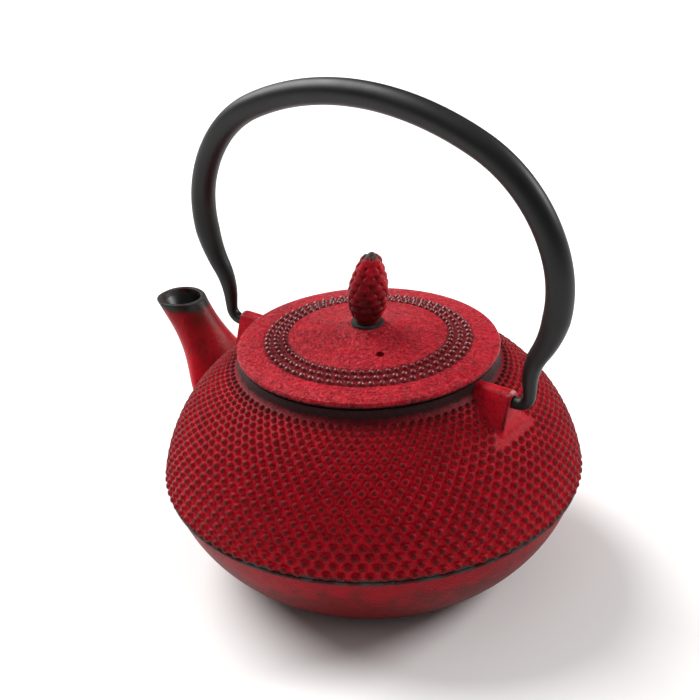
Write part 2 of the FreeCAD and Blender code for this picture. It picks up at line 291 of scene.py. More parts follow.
def pick(piece, kind, test):
    """In edit mode, selects the items of a kind that pass a test of their middle and of themselves."""
    bpy.ops.mesh.select_mode(type=kind)
    bpy.ops.mesh.select_all(action="DESELECT")
    mesh = bmesh.from_edit_mesh(piece.data)
    groups = {"VERT": mesh.verts, "EDGE": mesh.edges, "FACE": mesh.faces}
    for item in groups[kind]:
        points = [item.co] if kind == "VERT" else [vertex.co for vertex in item.verts]
        if test(sum(points, Vector()) / len(points), item):
            item.select_set(True)
    bmesh.update_edit_mesh(piece.data)


def line_with(piece, test):
    """Gives the faces that pass a test the piece's second material."""
    enter(piece)
    pick(piece, "FACE", test)
    bpy.context.object.active_material_index = 1
    bpy.ops.object.material_slot_assign()
    leave()


def apply_modifier(piece, kind, **settings):
    """Adds a modifier with its settings and applies it."""
    activate(piece)
    modifier = piece.modifiers.new(kind.title(), kind)
    for name, value in settings.items():
        setattr(modifier, name, value)
    bpy.ops.object.modifier_apply(modifier=modifier.name)


def cut(piece, cutter):
    """Cuts one closed mesh away from another and removes the cutter."""
    apply_modifier(piece, "BOOLEAN", operation="DIFFERENCE", solver="EXACT", object=cutter)
    bpy.data.objects.remove(cutter)


def round_off(piece, grain, passes):
    """Lays a piece's skin anew in even small faces, as one closed mesh, and softens its edges."""
    apply_modifier(piece, "REMESH", mode="VOXEL", voxel_size=grain)
    apply_modifier(piece, "SMOOTH", factor=0.5, iterations=passes)


def settle(piece, angle=40):
    """Puts a piece's place into its mesh, and shades it smooth except over sharp edges."""
    activate(piece)
    apply_place()
    bpy.ops.object.shade_smooth_by_angle(angle=math.radians(angle))


def join(pieces, name):
    """Joins meshes into the first one."""
    activate(pieces[0])
    for piece in pieces[1:]:
        piece.select_set(True)
    bpy.ops.object.join()
    pieces[0].name = name
    pieces[0].data.name = name
    return pieces[0]


def copy_of(piece):
    """A copy of a piece with its own mesh."""
    activate(piece)
    bpy.ops.object.duplicate(linked=False)
    return bpy.context.object


def placed(piece, place, tilt, size):
    """A copy of a piece scaled, tilted about Y and put in its place."""
    copy = copy_of(piece)
    copy.matrix_world = (Matrix.Translation(place) @ Matrix.Rotation(tilt, 4, "Y")
                         @ Matrix.Diagonal((*size, 1)))
    apply_place()
    return copy


def draw_line(name, points):
    """Open line of edges through (distance, height) points in the XZ plane, extruded from one vertex."""
    deselect()
    bpy.ops.mesh.primitive_plane_add(size=MM)
    piece = named(name)
    enter(piece)
    bpy.ops.mesh.merge(type="CENTER")
    bpy.ops.transform.translate(value=(points[0][0], 0, points[0][1]))
    for here, there in zip(points, points[1:]):
        step = (there[0] - here[0], 0, there[1] - here[1])
        bpy.ops.mesh.extrude_region_move(TRANSFORM_OT_translate={"value": step})
    leave()
    return piece


def turned(name, outline, steps):
    """Closed shape turned about the pot's axis from an outline in metres, from that axis back to it."""
    piece = draw_line(name, outline)
    enter(piece)
    bpy.ops.mesh.spin(steps=steps, angle=TURN, center=(0, 0, 0), axis=(0, 0, 1))
    bpy.ops.mesh.select_all(action="SELECT")
    bpy.ops.mesh.remove_doubles(threshold=0.01 * MM)
    bpy.ops.mesh.normals_make_consistent(inside=False)
    leave()
    return piece


def nub_from(name, profile, tall, steps):
    """One nub from (reach in millimetres, share of its height) points, marked with how near its tip it is."""
    nub = turned(name, [(reach * MM, share * tall) for reach, share in profile], steps)
    tip = nub.data.attributes.new("tip", "FLOAT", "POINT")
    for vertex, value in zip(nub.data.vertices, tip.data):
        value.value = max(0.0, vertex.co.z / tall)
    return nub


def ring_of(piece, count, start=0.0, centre=(0, 0, 0)):
    """Repeats a mesh about the vertical through a centre, evenly over one turn."""
    enter(piece)
    if start:
        bpy.ops.transform.rotate(value=-start, orient_axis="Z", center_override=centre)
    bpy.ops.mesh.spin(steps=count - 1, dupli=True, angle=TURN * (count - 1) / count, center=centre,
                      axis=(0, 0, 1))
    leave()
    return piece


def finish_piece(piece, body, slot, material, *nodes):
    """Gives a piece its material and its body, and hides the CAD nodes it stands for; its slot is not used.
    """
    if material and material.name not in piece.data.materials:
        piece.data.materials.clear()
        piece.data.materials.append(material)
    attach(piece, body)
    if nodes:
        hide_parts(*nodes)
    return piece


def coat_nodes(finishes):
    """Gives each CAD node that is shown as it is its material."""
    for name, material in finishes.items():
        frame["nodes"][name].data.materials.clear()
        frame["nodes"][name].data.materials.append(material)


def coat(piece, outer, finish):
    """Gives a casting its outer enamel, and the black lining as its second material."""
    piece.data.materials.append(outer)
    lining = bpy.data.materials.get("black_enamel_lining") or black_lining(finish)
    piece.data.materials.append(lining)


# ---------------------------------------------------------------- outlines

def arc(centre, radius, start, stop, count):
    """Points of an arc in the turning plane between two heights, on its outer side; sizes in millimetres."""
    first, last = [math.asin((height - centre[1]) / radius) for height in (start, stop)]
    angles = [first + (last - first) * step / count for step in range(count + 1)]
    return [(centre[0] + radius * math.cos(angle), centre[1] + radius * math.sin(angle)) for angle in angles]


def arc_height(centre, radius, reach):
    """Height at which the upper side of an arc comes in to a distance from the axis."""
    return centre[1] + math.sqrt(radius ** 2 - (reach - centre[0]) ** 2)


def metres(points):
    """An outline in metres from one in millimetres."""
    return [(x * MM, z * MM) for x, z in points]


def hollow_outline(pot):
    """Outline of the space inside the pot, from its floor to above the collar, in millimetres."""
    wall, seam, mouth = pot.wall / MM, pot.seam / MM, pot.mouth / MM
    recess, step, top = pot.recess / MM, pot.recess_floor / MM, POT_HIGH.z / MM
    bowl, shell = BOWL_ARC - wall, SHELL_ARC - wall
    neck = arc_height(SHELL_CENTRE, shell, mouth)
    soft = 0.4
    return ([(0, wall)] + arc(BOWL_CENTRE, bowl, wall, seam - 1, 12)
            + arc(SHELL_CENTRE, shell, seam + 1, neck, 18)
            + [(mouth, step - soft), (mouth + soft, step), (recess, step), (recess, top - soft),
               (recess + soft, top)])


def shell_outline(pot):
    """Outline of the pot's casting, out along the base, up the outside and back down the inside."""
    seam, collar, top = pot.seam / MM, pot.collar / MM, POT_HIGH.z / MM
    lip = POT_HIGH.y / MM
    ground = SHELL_ARC - pot.valley / MM
    shoulder = arc_height(SHELL_CENTRE, ground, collar + 1.6)
    outside = [(0, 0), (48.0, 0), (49.6, 0.35)]
    outside += arc(BOWL_CENTRE, BOWL_ARC, 1.4, seam - 0.9, 16)
    outside += [(lip - 0.5, seam - 0.7), (lip - 0.08, seam - 0.45), (lip, seam), (lip - 0.1, seam + 0.4),
                (lip - 0.45, seam + 0.62)]
    outside += arc(SHELL_CENTRE, ground, seam + 1.0, shoulder, 30)
    outside += [(collar + 0.7, shoulder + 0.9), (collar + 0.1, shoulder + 1.9), (collar, top - 1.3),
                (collar - 0.3, top - 0.45), (collar - 1.2, top)]
    inside = hollow_outline(pot)[::-1]
    return outside + inside


# ---------------------------------------------------------------- materials

def add(tree, kind, inputs=None, **settings):
    """Adds a node with its settings, and sets or links its inputs, given by name or number."""
    made = tree.nodes.new(kind)
    for name, value in settings.items():
        setattr(made, name, value)
    for key, value in (inputs or {}).items():
        if isinstance(value, bpy.types.Node):
            value = value.outputs[0]
        if isinstance(value, bpy.types.NodeSocket):
            tree.links.new(value, made.inputs[key])
        elif isinstance(made.inputs[key].default_value, float) or isinstance(value, (int, float)):
            made.inputs[key].default_value = value
        else:
            missing = len(made.inputs[key].default_value) - len(value)
            made.inputs[key].default_value = tuple(value) + (1.0,) * missing
    return made


def fresh(name, **sockets):
    """New material with a shader whose own sockets hold what is the same all over the surface."""
    material = bpy.data.materials.new(name)
    material.use_nodes = True
    tree = material.node_tree
    tree.nodes.clear()
    shader = add(tree, "ShaderNodeBsdfPrincipled", sockets)
    add(tree, "ShaderNodeOutputMaterial", {"Surface": shader})
    return material, tree, shader, add(tree, "ShaderNodeTexCoord").outputs["Object"]


def pattern(tree, place, size_mm, low, high, detail=3.0, distortion=0.0):
    """Cloudy 0 to 1 pattern of patches about size_mm across, its contrast set by two thresholds."""
    cloud = add(tree, "ShaderNodeTexNoise", {"Vector": place, "Scale": 0.5 / (size_mm * MM), "Detail": detail,
                                             "Distortion": distortion})
    return add(tree, "ShaderNodeMapRange", {0: cloud, 1: low, 2: high}).outputs[0]


def band(tree, distance, edge_mm, softness_mm, ragged=None, ragged_mm=0.0):
    """Mask that is 1 below a distance in metres, with its edge made ragged by a 0 to 1 pattern."""
    if ragged is not None:
        distance = add(tree, "ShaderNodeMath", {0: ragged, 1: ragged_mm * MM, 2: distance},
                       operation="MULTIPLY_ADD").outputs[0]
    return add(tree, "ShaderNodeMapRange", {0: distance, 1: (edge_mm - softness_mm) * MM,
                                            2: (edge_mm + softness_mm) * MM, 3: 1.0, 4: 0.0}).outputs[0]


def along(tree, place, direction, start_mm=0.0):
    """How far a point lies along a direction beyond a start, in metres."""
    reach = add(tree, "ShaderNodeVectorMath", {0: place, 1: direction}, operation="DOT_PRODUCT").outputs[1]
    return add(tree, "ShaderNodeMath", {0: reach, 1: start_mm * MM}, operation="SUBTRACT").outputs[0]


def paint(tree, shader, ground, layers):
    """Lays colours over a ground colour, each where its mask is 1, and gives the result to the shader."""
    for mask, share, colour in layers:
        part = add(tree, "ShaderNodeMath", {0: mask, 1: share}, operation="MULTIPLY")
        ground = add(tree, "ShaderNodeMix", {0: part, 6: ground, 7: colour}, data_type="RGBA").outputs[2]
    tree.links.new(ground, shader.inputs["Base Color"])


def red_enamel(name, finish, grain_mm, ridge_highlight, relief_mm, marks, cracked=0.0, roughness=0.42, gloss=0.1):
    """Red enamel baked over rough sand-cast iron.

    It is deep crimson with thin maroon patches. Its pebbled skin gets a painted highlight in rose on its
    ridges, dark wrinkles run over it where it dried thick, and the marks lay worn black iron, stains and
    painted shade over it.
    """
    material, tree, shader, place = fresh(name, **{"Roughness": roughness, "IOR": 1.45,
                                                   "Specular IOR Level": gloss})
    thin = pattern(tree, place, 3.2, 0.36, 0.74, detail=4.0)
    skin = pattern(tree, place, grain_mm, 0.38, 0.66, distortion=0.6)
    pits = pattern(tree, place, grain_mm * 1.3, 0.56, 0.66)
    folds = add(tree, "ShaderNodeTexNoise", {"Vector": place, "Scale": 0.3 / (grain_mm * MM), "Detail": 2.0,
                                             "Distortion": 1.4})
    from_fold = add(tree, "ShaderNodeMath", {0: folds, 1: 0.5}, operation="SUBTRACT")
    off_fold = add(tree, "ShaderNodeMath", {0: from_fold}, operation="ABSOLUTE")
    wrinkle = add(tree, "ShaderNodeMapRange", {0: off_fold, 1: 0.006, 2: 0.035, 3: 1.0, 4: 0.0}).outputs[0]
    # The rose layer paints highlight on the skin's raised grain.
    paint(tree, shader, finish.crimson, [(thin, 0.5, finish.maroon), (skin, ridge_highlight, finish.rose),
                                         (pits, 0.55, finish.maroon), (wrinkle, cracked, finish.dregs_and_shade)]
          + marks(tree, place))
    sunk = add(tree, "ShaderNodeMath", {0: wrinkle, 1: cracked}, operation="MULTIPLY")
    low = add(tree, "ShaderNodeMath", {0: pits, 1: 0.5, 2: sunk}, operation="MULTIPLY_ADD")
    height = add(tree, "ShaderNodeMath", {0: skin, 1: low}, operation="SUBTRACT")
    bump = add(tree, "ShaderNodeBump", {"Height": height, "Strength": 1.0, "Distance": relief_mm * MM})
    tree.links.new(bump.outputs[0], shader.inputs["Normal"])
    return material


def pot_marks(finish, pot):
    """Marks of the pot: the worn seam, the collar's black enamel with painted shade under the lid, the
    hobnail tips dark with wear and painted shade, and the low brown staining.
    """
    def marks(tree, place):
        height = along(tree, place, (0, 0, 1))
        off_seam = add(tree, "ShaderNodeMath", {0: along(tree, place, (0, 0, 1), pot.seam / MM)},
                       operation="ABSOLUTE").outputs[0]
        ragged = pattern(tree, place, 1.6, 0.3, 0.7)
        blotch = pattern(tree, place, 4.0, 0.35, 0.65)
        bowl = band(tree, height, pot.seam / MM, 0.5)
        low = band(tree, height, 34, 6, blotch, 14)
        seam = band(tree, off_seam, 2.1, 0.5, ragged, 1.0)
        bloom = add(tree, "ShaderNodeMath", {0: seam, 1: pattern(tree, place, 3.0, 0.45, 0.6)},
                    operation="MULTIPLY").outputs[0]
        # Dark hobnail tips: partly worn iron, partly painted shade.
        tip = add(tree, "ShaderNodeAttribute", attribute_name="tip").outputs["Fac"]
        worn_tip_and_shade = add(tree, "ShaderNodeMapRange", {0: tip, 1: 0.60, 2: 0.88}).outputs[0]
        # The collar's band is black enamel over the rim and, lower down, painted shade under the lid's
        # overhang.
        below_top = along(tree, place, (0, 0, -1), -POT_HIGH.z / MM)
        collar = band(tree, below_top, 5.6, 2.0, ragged, 0.9)
        return [(bowl, 0.55, finish.maroon), (low, 0.65, finish.umber), (seam, 0.92, finish.soot_and_shade),
                (bloom, 0.8, finish.verdigris), (worn_tip_and_shade, 0.8, finish.dregs_and_shade), (collar, 0.95, finish.lining)]
    return marks


def spout_marks(finish, pot):
    """Worn places of the spout: a sooty ragged band below the lip and brown patches on the upper side."""
    def marks(tree, place):
        ragged = pattern(tree, place, 2.4, 0.3, 0.7)
        below_lip = along(tree, place, (0, 0, -1), -pot.spout_mouth / MM)
        upper = add(tree, "ShaderNodeMapRange", {0: along(tree, place, (0.70, -0.35, 1.0)), 1: 9 * MM,
                                                 2: 21 * MM}).outputs[0]
        sooty = add(tree, "ShaderNodeMath", {0: upper, 1: pattern(tree, place, 6.0, 0.36, 0.62)},
                    operation="MULTIPLY").outputs[0]
        lip = band(tree, below_lip, 4.2, 1.0, ragged, 2.6)
        bloom = add(tree, "ShaderNodeMath", {0: lip, 1: pattern(tree, place, 3.0, 0.35, 0.65)},
                    operation="MULTIPLY").outputs[0]
        return [(upper, 0.35, finish.umber), (sooty, 0.75, finish.umber), (lip, 0.95, finish.soot_and_shade),
                (bloom, 0.7, finish.verdigris)]
    return marks


def ear_marks(finish, pot):
    """Marks of the ears: a black line of painted shade down the corners of the end face, and a pale painted
    highlight at the ridge's end.
    """
    def marks(tree, place):
        flip = add(tree, "ShaderNodeVectorMath", {0: place}, operation="ABSOLUTE").outputs[0]
        ragged = pattern(tree, place, 1.4, 0.3, 0.7)
        from_end = along(tree, flip, (-1, 0, 0), -pot.ear_reach / MM)
        drop = along(tree, place, (0, 0, -1), -pot.ear_top / MM)
        inside = along(tree, flip, (0, -1, -EAR_SLOPE), -2.4 - EAR_SLOPE * pot.ear_top / MM)
        # Painted shade: a black line down the corners of the end face.
        end = band(tree, from_end, 1.0, 0.4, ragged, 0.5)
        edge = band(tree, inside, 0.9, 0.4, ragged, 0.5)
        upright = add(tree, "ShaderNodeMath", {0: edge, 1: band(tree, drop, 13, 1)}, operation="MULTIPLY")
        corner = add(tree, "ShaderNodeMath", {0: end, 1: upright}, operation="MULTIPLY").outputs[0]
        # A pale painted highlight at the end of the ridge.
        high = band(tree, drop, 1.5, 0.6, ragged, 0.8)
        tip = band(tree, from_end, 1.7, 0.5, ragged, 1.4)
        tip_highlight = add(tree, "ShaderNodeMath", {0: tip, 1: high}, operation="MULTIPLY").outputs[0]
        return [(corner, 0.95, finish.soot_and_shade), (tip_highlight, 0.55, finish.pale_highlight)]
    return marks


def lid_marks(finish):
    """Marks of the lid: the dark band under the nubs, and painted shade along the lower edge of the rim."""
    def marks(tree, place):
        flat = add(tree, "ShaderNodeVectorMath", {0: place, 1: (1.0, 1.0, 0.0)}, operation="MULTIPLY")
        reach = add(tree, "ShaderNodeVectorMath", {0: flat}, operation="LENGTH").outputs[1]
        middle = add(tree, "ShaderNodeMath", {0: reach, 1: 34.9 * MM}, operation="SUBTRACT")
        off = add(tree, "ShaderNodeMath", {0: middle}, operation="ABSOLUTE").outputs[0]
        ragged = pattern(tree, place, 1.4, 0.3, 0.7)
        channel = band(tree, off, 5.2, 0.35, ragged, 0.6)
        # Painted shade along the rim's lower edge.
        rim = band(tree, along(tree, place, (0, 0, 1)), 89.0, 0.5, ragged, 0.6)
        return [(channel, 0.65, finish.dregs_and_shade), (rim, 0.85, finish.soot_and_shade)]
    return marks


def nub_marks(finish):
    """Worn places of the lid's nubs: maroon all over, brown-black in blotches."""
    def marks(tree, place):
        return [(pattern(tree, place, 3.0, 0.0, 0.3), 0.9, finish.maroon),
                (pattern(tree, place, 2.0, 0.45, 0.75), 0.6, finish.dregs_and_shade)]
    return marks


def knob_marks(finish):
    """Marks of the knob: painted shade in the crevices and low on the front, grey-green at the tip."""
    def marks(tree, place):
        relief = add(tree, "ShaderNodeAttribute", attribute_name="relief").outputs["Fac"]
        # Painted shade in the crevices between the scales.
        crevice_shade = add(tree, "ShaderNodeMapRange", {0: relief, 1: 0.15, 2: 0.85, 3: 1.0, 4: 0.0}).outputs[0]
        blotch = pattern(tree, place, 3.0, 0.35, 0.65)
        # Painted shade low on the front, on the side turned from the back light.
        foot = band(tree, along(tree, place, (0, 0, 1), KNOB_LOW.z / MM), 22, 8, blotch, 8)
        facing = add(tree, "ShaderNodeMapRange", {0: along(tree, place, (0.35, -0.94, 0)), 1: -1.5 * MM,
                                                  2: 4.0 * MM}).outputs[0]
        front = add(tree, "ShaderNodeMath", {0: foot, 1: facing}, operation="MULTIPLY").outputs[0]
        tip = band(tree, along(tree, place, (0, 0, -1), -KNOB_HIGH.z / MM), 3.4, 1.2, blotch, 2.0)
        return [(crevice_shade, 0.5, finish.dregs_and_shade), (front, 0.85, finish.dregs_and_shade), (tip, 0.9, finish.verdigris)]
    return marks


def black_lining(finish):
    """Black enamel fused to the inside of the casting: satin, with a faint waviness where it ran."""
    material, tree, shader, place = fresh("black_enamel_lining", **{"Roughness": 0.38, "IOR": 1.5})
    cloud = pattern(tree, place, 6.0, 0.3, 0.7)
    paint(tree, shader, finish.lining, [(cloud, 1.0, finish.soot_and_shade)])
    bump = add(tree, "ShaderNodeBump", {"Height": cloud, "Strength": 0.25, "Distance": 0.2 * MM})
    tree.links.new(bump.outputs[0], shader.inputs["Normal"])
    return material


def bail_lacquer(finish):
    """Satin black lacquer on a forged steel rod: a soft broad sheen over faint hammer waves."""
    material, tree, shader, place = fresh("satin_black_lacquer", **{"IOR": 1.5, "Specular IOR Level": 0.3})
    waves = pattern(tree, place, 7.0, 0.3, 0.7)
    grit = pattern(tree, place, 0.5, 0.35, 0.65)
    paint(tree, shader, finish.lacquer, [(grit, 0.6, finish.soot_and_shade)])
    gloss = add(tree, "ShaderNodeMapRange", {0: waves, 3: 0.40, 4: 0.50}).outputs[0]
    height = add(tree, "ShaderNodeMath", {0: grit, 1: 0.15, 2: waves}, operation="MULTIPLY_ADD")
    bump = add(tree, "ShaderNodeBump", {"Height": height, "Strength": 0.3, "Distance": 0.12 * MM})
    tree.links.new(gloss, shader.inputs["Roughness"])
    tree.links.new(bump.outputs[0], shader.inputs["Normal"])
    return material


def metal(name, colour, worn, rough, grain_mm):
    """Bare or plated metal: fine drawn grain that breaks the reflection up."""
    material, tree, shader, place = fresh(name, **{"Metallic": 1.0})
    grain = pattern(tree, place, grain_mm, 0.3, 0.7)
    paint(tree, shader, colour, [(grain, 1.0, worn)])
    gloss = add(tree, "ShaderNodeMapRange", {0: grain, 3: rough, 4: rough + 0.15}).outputs[0]
    bump = add(tree, "ShaderNodeBump", {"Height": grain, "Strength": 0.15, "Distance": 0.05 * MM})
    tree.links.new(gloss, shader.inputs["Roughness"])
    tree.links.new(bump.outputs[0], shader.inputs["Normal"])
    return material


def rubber(finish):
    """Nitrile rubber: matt black with a dusty bloom."""
    material, tree, shader, place = fresh("nitrile_rubber", **{"Roughness": 0.75, "IOR": 1.5})
    paint(tree, shader, finish.rubber, [(pattern(tree, place, 1.0, 0.4, 0.8), 0.5, finish.verdigris)])
    return material


# ---------------------------------------------------------------- pieces

def above_shell(point, pot):
    """How far a point is outside the pot's upper surface, and that surface's direction there."""
    reach = math.hypot(point.x, point.y)
    across, up = reach - SHELL_CENTRE[0] * MM, point.z - SHELL_CENTRE[1] * MM
    outward = Vector((across * point.x / reach, across * point.y / reach, up)).normalized()
    return math.hypot(across, up) - (SHELL_ARC * MM - pot.valley), outward


def run_into_shell(piece, radius, pot):
    """Spreads the foot of a lug over the shell in a hollow fillet, as a casting's corner has."""
    for vertex in piece.data.vertices:
        height, outward = above_shell(vertex.co, pot)
        along = vertex.normal - outward * vertex.normal.dot(outward)
        if height < radius and along.length > 0.2:
            share = 1 - max(height, 0.0) / radius
            vertex.co += along.normalized() * radius * (1 - math.sqrt(1 - share ** 2))


def hollow(pot):
    """The space inside the pot as a closed cutter, open to above the collar."""
    top = (POT_HIGH.z + 4 * MM) / MM
    outline = hollow_outline(pot)
    return turned("cutter_hollow", metres(outline + [(outline[-1][0], top), (0, top)]), 160)


def spout_start(pot):
    """Middle of the spout's mouth, where its axis starts."""
    return Vector((SPOUT_MOUTH_X, 0, pot.spout_mouth))


def spout_tube(name, inset_mm, sides):
    """Tube through the spout's sections, modelled upright and then laid along the spout's axis."""
    deselect()
    first = SPOUT_SECTIONS[0]
    bpy.ops.mesh.primitive_circle_add(vertices=sides, radius=MM, fill_type="NGON")
    tube = named(name)
    enter(tube)
    bpy.ops.transform.resize(value=(first[1] - inset_mm, first[2] - inset_mm, 1))
    bpy.ops.transform.translate(value=(0, 0, first[0] * MM))
    for here, there in zip(SPOUT_SECTIONS, SPOUT_SECTIONS[1:]):
        rise = (there[0] - here[0]) * MM
        grow = [(there[axis] - inset_mm) / (here[axis] - inset_mm) for axis in (1, 2)]
        bpy.ops.mesh.extrude_region_move(TRANSFORM_OT_translate={"value": (0, 0, rise)})
        bpy.ops.transform.resize(value=(grow[0], grow[1], 1))
    face_outwards()
    leave()
    apply_modifier(tube, "SUBSURF", levels=2, render_levels=2)
    tube.rotation_euler = (0, math.atan2(SPOUT_AXIS.x, SPOUT_AXIS.z), 0)
    tube.location = spout_start(bpy.context.scene.teapot_pot)
    activate(tube)
    apply_place()
    return tube


class TEAPOT_OT_shell(bpy.types.Operator):
    """Turn the bowl and shell with their wall, and open the way into the spout"""
    bl_idname = "teapot.shell"
    bl_label = "Pot Shell"

    def execute(self, context):
        pot, finish = context.scene.teapot_pot, context.scene.teapot_finish
        shell = turned("pot_shell", metres(shell_outline(pot)), 256)
        cut(shell, spout_tube("cutter_channel", pot.spout_wall / MM, 32))
        red = red_enamel("red_enamel_hobnail", finish, 0.5, 0.12, 0.10, pot_marks(finish, pot), cracked=0.2)
        coat(shell, red, finish)
        line_with(shell, lambda middle, face: self.is_inside(pot, middle))
        settle(shell, 35)
        finish_piece(shell, "pot", "pot_iron", None, "pot_body")
        return {"FINISHED"}

    def is_inside(self, pot, point):
        """Whether a point of the casting's skin belongs to the hollow or to the step for the strainer."""
        reach, height = math.hypot(point.x, point.y) / MM, point.z / MM
        if height > pot.recess_floor / MM - 1:
            return reach < pot.recess / MM + 1
        centre, radius = (BOWL_CENTRE, BOWL_ARC) if height < pot.seam / MM else (SHELL_CENTRE, SHELL_ARC)
        middle_of_wall = radius - pot.wall / MM / 2
        within = reach < centre[0] or math.hypot(reach - centre[0], height - centre[1]) < middle_of_wall
        return within and height > pot.wall / MM / 2


class TEAPOT_OT_hobnails(bpy.types.Operator):
    """Model one hobnail and repeat it in staggered rows over the shell"""
    bl_idname = "teapot.hobnails"
    bl_label = "Hobnails"

    def execute(self, context):
        pot = context.scene.teapot_pot
        nub = nub_from("hobnail", HOBNAIL, pot.nub, 8)
        ground = SHELL_ARC * MM - pot.valley
        centre = Vector((SHELL_CENTRE[0] * MM, 0, SHELL_CENTRE[1] * MM))
        angle = math.asin((pot.seam + FIRST_ROW * MM - centre.z) / ground)
        rows = []
        for row in range(pot.rows):
            reach = centre.x + ground * math.cos(angle)
            pitch = TURN * reach / pot.nubs
            size = pitch / (HOBNAIL_PITCH * MM)
            place = (reach, 0, centre.z + ground * math.sin(angle))
            copy = placed(nub, place, math.pi / 2 - angle, (size, size, size))
            rows.append(ring_of(copy, pot.nubs, start=(row % 2) * TURN / pot.nubs / 2))
            angle += ROW_SHARE * pitch / ground
        bpy.data.objects.remove(nub)
        nubs = join(rows, "pot_hobnails")
        self.clear_feet(nubs, pot)
        settle(nubs, 80)
        finish_piece(nubs, "pot", "pot_iron", bpy.data.materials["red_enamel_hobnail"])
        return {"FINISHED"}

    def clear_feet(self, nubs, pot):
        """Deletes the hobnails where the spout and the ears leave the shell."""
        start = spout_start(pot)

        def covered(point, _):
            if abs(point.x) > 40 * MM and abs(point.y) < 30 * MM:
                drop = max(0.0, pot.ear_top - point.z)
                in_ear = (abs(point.x) < pot.ear_reach + 1.2 * MM
                          and abs(point.y) < 3.2 * MM + EAR_SLOPE * drop)
                along = (point - start).dot(SPOUT_AXIS) / MM
                in_spout = point.x < 0 and 20 < along and self.in_section(point, start, along)
                return in_ear or in_spout
            return False
        enter(nubs)
        pick(nubs, "VERT", covered)
        bpy.ops.mesh.select_linked()
        bpy.ops.mesh.delete(type="VERT")
        leave()

    def in_section(self, point, start, along):
        """Whether a point is in the spout's section at a distance along its axis, fillet included."""
        for here, there in zip(SPOUT_SECTIONS, SPOUT_SECTIONS[1:]):
            if here[0] <= along <= there[0]:
                share = (along - here[0]) / (there[0] - here[0])
                tall, wide = [(here[axis] + (there[axis] - here[axis]) * share + SPOUT_FILLET) * MM
                              for axis in (1, 2)]
                off = point - start - SPOUT_AXIS * along * MM
                height = off.dot(SPOUT_UP)
                return (height / tall) ** 2 + (off.y / wide) ** 2 < 1
        return False


class TEAPOT_OT_spout(bpy.types.Operator):
    """Loft the spout, level its mouth, and run its foot into the shell"""
    bl_idname = "teapot.spout"
    bl_label = "Spout"

    def execute(self, context):
        pot, finish = context.scene.teapot_pot, context.scene.teapot_finish
        spout = spout_tube("pot_spout", 0.0, 32)
        run_into_shell(spout, SPOUT_FILLET * MM, pot)
        round_off(spout, SPOUT_GRAIN, 1)
        enter(spout)
        bpy.ops.mesh.bisect(plane_co=(0, 0, pot.spout_mouth), plane_no=(0, 0, 1), use_fill=True,
                            clear_outer=True)
        face_outwards()
        leave()
        cut(spout, spout_tube("cutter_channel", pot.spout_wall / MM, 32))
        round_off(spout, SPOUT_GRAIN, 3)
        cut(spout, hollow(pot))
        red = red_enamel("red_enamel_spout", finish, 0.8, 0.05, 0.04, spout_marks(finish, pot),
                         roughness=0.38)
        coat(spout, red, finish)
        start = spout_start(pot)

        def faces_channel(middle, face):
            axis_point = start + SPOUT_AXIS * (middle - start).dot(SPOUT_AXIS)
            deep = middle.z < pot.spout_mouth - 2 * MM
            return deep and face.normal.dot(middle - axis_point) < 0
        line_with(spout, faces_channel)
        settle(spout, 40)
        finish_piece(spout, "pot", "pot_iron", None)
        return {"FINISHED"}


class TEAPOT_OT_ears(bpy.types.Operator):
    """Shape one ear as a tent-shaped lug with a hole for the hook, and copy it to the other side"""
    bl_idname = "teapot.ears"
    bl_label = "Ears"

    def execute(self, context):
        pot, finish = context.scene.teapot_pot, context.scene.teapot_finish
        bail = context.scene.teapot_bail
        inner = pot.collar - 4 * MM
        deselect()
        middle = ((inner + pot.ear_reach) / 2, 0, (pot.ear_foot + pot.ear_top) / 2)
        bpy.ops.mesh.primitive_cube_add(size=1, location=middle,
                                        scale=(pot.ear_reach - inner, 2 * MM, pot.ear_top - pot.ear_foot))
        ear = named("pot_ear_right")
        apply_place()
        enter(ear)
        for level, half in ((pot.ear_top, 2.4), (pot.ear_foot, 8.4)):
            pick(ear, "FACE", lambda middle, _: abs(middle.z - level) < 0.1 * MM)
            bpy.ops.transform.resize(value=(1, half, 1))
        pick(ear, "EDGE", lambda middle, _: middle.z > pot.ear_top - 0.1 * MM and abs(middle.y) > 2 * MM)
        bpy.ops.mesh.bevel(offset=1.9 * MM, segments=4)
        pick(ear, "FACE", lambda middle, _: middle.x > pot.ear_reach - 0.01 * MM)
        bpy.ops.mesh.bevel(offset=0.7 * MM, segments=2)
        leave()
        round_off(ear, EAR_GRAIN, 3)
        run_into_shell(ear, EAR_FILLET * MM, pot)
        round_off(ear, EAR_GRAIN, 3)
        deselect()
        hole_depth = 7 * MM
        bpy.ops.mesh.primitive_cylinder_add(vertices=32, radius=bail.hook + 0.1 * MM,
                                            depth=2 * hole_depth, location=(pot.ear_reach, 0, bail.pivot),
                                            rotation=(0, math.pi / 2, 0))
        cut(ear, bpy.context.object)
        cut(ear, hollow(pot))
        red = red_enamel("red_enamel_ear", finish, 0.6, 0.10, 0.06, ear_marks(finish, pot))
        settle(ear, 40)
        other = copy_of(ear)
        other.name = "pot_ear_left"
        other.rotation_euler = (0, 0, math.pi)
        settle(other, 40)
        for piece in (ear, other):
            finish_piece(piece, "pot", "pot_iron", red)
        return {"FINISHED"}


